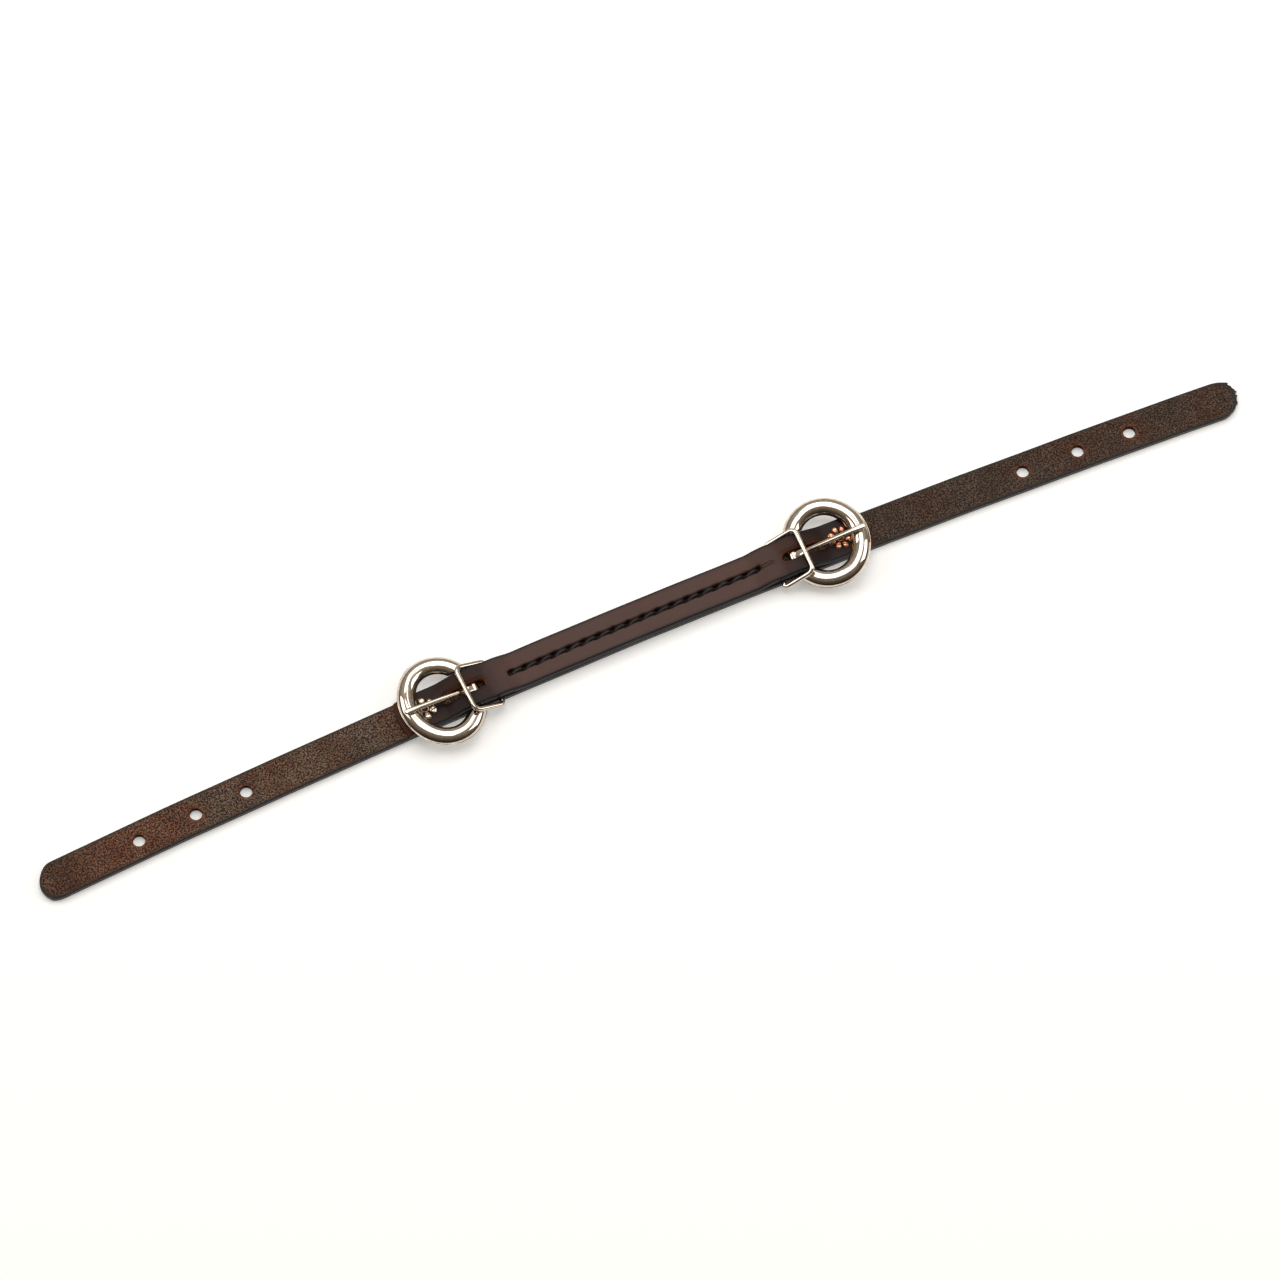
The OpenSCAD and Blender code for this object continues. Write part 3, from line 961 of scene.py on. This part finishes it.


# %% [markdown]
# ### Grain-side leather
#
# The grain side is glazed: dark brown under a soft sheen, with very fine pores, and a paler sheen
# is painted over the middle. Edges are inked black, shade is painted near-black into the sewn
# groove, and the punched slot shows the undyed, orange-brown core.

# %% Grain-side leather
def grain_leather():
    material, tree, shader, where = new_material("glazed_grain_leather")
    pores = grains(tree, where, 0.45, detail=2.0, rough=0.5)
    cloud = grains(tree, where, 9, detail=3.0, stretch=(0.45, 1, 1))
    colour = ramp(tree, cloud, (0.38, "#1c0e0b"), (0.52, "#29150f"), (0.64, "#3a2119"))
    # Painted highlight: a sheen painted into the colour over the middle of the strap.
    painted_sheen_amount = ramp(tree, mask(tree, "bloom"), (0.0, 0.0), (1.0, 0.7))
    colour = mix(tree, painted_sheen_amount, colour, "#614842")
    colour = mix(tree, mask(tree, "burnish"), colour, "#1b1a1b")
    colour = mix(tree, mask(tree, "raw"), colour, "#8a4a26")
    # Painted shade in the sewn groove, the awl holes and the slit's outline.
    colour = mix(tree, mask(tree, "wax"), colour, "#150d0b")
    roughness = ramp(tree, cloud, (0.3, 0.38), (0.7, 0.54))
    shader.inputs["Specular IOR Level"].default_value = 0.16
    finish_surface(tree, shader, colour, roughness, pores, 0.08)
    return material


# %% [markdown]
# ### Waxed thread and the metals
#
# Waxed linen is black with a greasy sheen. The nickel plate is polished, slightly warm, and has
# a faint waver from the casting below it. The rivets are tinned brass, worn through to copper
# colour on the right-hand side.

# %% Thread and metals
def waxed_thread():
    material, tree, shader, where = new_material("waxed_linen_thread")
    fibre = grains(tree, where, 0.25, detail=2.0)
    colour = ramp(tree, fibre, (0.35, "#080606"), (0.65, "#1c1816"))
    roughness = ramp(tree, fibre, (0.3, 0.35), (0.7, 0.6))
    finish_surface(tree, shader, colour, roughness, fibre, 0.08)
    return material


def plated(name, bright, dull, smooth, scratched, depth_mm):
    """Polished plate with a slow waver, and a little dullness in patches."""
    material, tree, shader, where = new_material(name)
    waver = grains(tree, where, 3.5, detail=2.0)
    rub = grains(tree, where, 1.4, detail=4.0, rough=0.6)
    colour = ramp(tree, rub, (0.35, dull), (0.6, bright))
    roughness = ramp(tree, rub, (0.35, scratched), (0.62, smooth))
    shader.inputs["Metallic"].default_value = 1.0
    finish_surface(tree, shader, colour, roughness, waver, depth_mm)
    return material


flesh = flesh_leather()
grain = grain_leather()
thread = waxed_thread()
nickel = plated("polished_nickel_plate", "#d3c8bb", "#c2b6a8", 0.035, 0.07, 0.006)
rivet_metals = {"left": plated("tinned_brass_rivet", "#dccfc0", "#b08a6a", 0.14, 0.3, 0.1),
                "right": plated("worn_copper_rivet", "#dfa885", "#a05c3a", 0.16, 0.3, 0.05)}
print("materials:", sorted(material.name for material in bpy.data.materials))

# %% Materials, bodies and the CAD nodes that the pieces stand for
def fit(piece, body, slot, materials, *replaced):
    for material in materials:
        piece.data.materials.append(material)
    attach(piece, body)
    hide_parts(*replaced)


fit(under_strap, "straps", "flesh_leather", [flesh, grain], "under_strap")
fit(cover_strap, "straps", "grain_leather", [grain], "cover_strap")
fit(needle, "straps", "thread", [thread], "needle_thread")
fit(bobbin, "straps", "thread", [thread], "bobbin_thread")
for side in SIDES:
    fit(rings[side], side + "_buckle", "nickel", [nickel], side + "_frame")
    fit(tongues[side], side + "_prong", "nickel", [nickel], side + "_tongue")
    fit(keepers[side], side + "_loop", "nickel", [nickel], side + "_keeper")
    fit(rivets[side], "straps", "rivet_metal", [rivet_metals[side]], side + "_rivet")

# %% [markdown]
# ## Studio
#
# A pale paper floor that glows faintly, like a light table, two broad softboxes above and behind,
# and one at each side. The room is brighter behind the object than behind the camera, which
# gives the polished ring its dark edges.

# %% Floor
VIEW_AZIMUTH = math.radians(-24.12)
VIEW_ELEVATION = math.radians(67)
FLOOR_HALF_M = 2.5
FLOOR_GLOW = 0.28


def direction(azimuth, elevation):
    """Unit vector from the object; azimuth 0 is the camera's side and turns to its right."""
    turn = VIEW_AZIMUTH + azimuth
    level = math.cos(elevation)
    return Vector((math.sin(turn) * level, -math.cos(turn) * level, math.sin(elevation)))


floor_mesh = bpy.data.meshes.new("paper_floor")
bm = bmesh.new()
bmesh.ops.create_grid(bm, x_segments=1, y_segments=1, size=FLOOR_HALF_M)
bm.to_mesh(floor_mesh)
bm.free()
floor = bpy.data.objects.new("paper_floor", floor_mesh)
bpy.context.scene.collection.objects.link(floor)
paper, tree, shader, where = new_material("white_seamless_paper")
tooth = grains(tree, where, 1.2)
finish_surface(tree, shader, ramp(tree, tooth, (0.3, "#f1f1ef"), (0.7, "#f5f5f3")),
               ramp(tree, tooth, (0.3, 0.85), (0.7, 0.95)), tooth, 0.02)
shader.inputs["Emission Color"].default_value = linear("#ffffff")
shader.inputs["Emission Strength"].default_value = FLOOR_GLOW
floor.data.materials.append(paper)


# %% Softboxes and the room
LAMP_AWAY = 1.5
ROOM_LEVEL = 0.55


def softbox(name, azimuth, elevation, width, height, watts):
    """A lamp with sizes in metres, facing the object from LAMP_AWAY metres."""
    data = bpy.data.lights.new(name, "AREA")
    data.shape = "RECTANGLE"
    data.size = width
    data.size_y = height
    data.energy = watts
    lamp = bpy.data.objects.new(name, data)
    towards = direction(math.radians(azimuth), math.radians(elevation))
    lamp.location = towards * LAMP_AWAY
    lamp.rotation_mode = "QUATERNION"
    lamp.rotation_quaternion = towards.to_track_quat("Z", "Y")
    bpy.context.scene.collection.objects.link(lamp)


softbox("overhead_softbox", 180, 80, 1.0, 0.78, 6.2)
softbox("far_softbox", 180, 52, 1.0, 0.5, 3.8)
softbox("left_softbox", -100, 38, 0.7, 0.8, 5)
softbox("right_softbox", 100, 38, 0.7, 0.8, 5)

room = bpy.data.worlds.new("dim_room")
room.use_nodes = True
tree = room.node_tree
bright_side = direction(math.pi, math.radians(53))
where = (node(tree, "TexCoord"), "Generated")
facing = (node(tree, "VectorMath", {0: where, 1: tuple(bright_side)}, operation="DOT_PRODUCT"),
          "Value")
level = (node(tree, "Math", {0: facing, 1: 0.5, 2: 0.5}, operation="MULTIPLY_ADD"), "Value")
walls = ramp(tree, level, (0.2, "#1d1a17"), (0.5, "#6e6459"), (0.8, "#c4b7a6"), (0.95, "#efe9e0"))
tree.links.new(walls[0].outputs[walls[1]], tree.nodes["Background"].inputs["Color"])
tree.nodes["Background"].inputs["Strength"].default_value = ROOM_LEVEL
bpy.context.scene.world = room
bpy.context.scene.view_settings.view_transform = "Standard"

# %% Camera
LENS = 281.35
CAMERA_AWAY = 4000
AIM_RIGHT = 1.298
AIM_UP = -5.301
back = direction(0, VIEW_ELEVATION)
right = Vector((math.cos(VIEW_AZIMUTH), math.sin(VIEW_AZIMUTH), 0))
up = back.cross(right)
camera_data = bpy.data.cameras.new("camera")
camera_data.sensor_width = 36
camera_data.lens = LENS
camera_data.clip_end = 20
camera = bpy.data.objects.new("camera", camera_data)
place = (right * AIM_RIGHT + up * AIM_UP + back * CAMERA_AWAY) * MM
camera.matrix_world = Matrix.Translation(place) @ Matrix((right, up, back)).transposed().to_4x4()
bpy.context.scene.collection.objects.link(camera)
bpy.context.scene.camera = camera
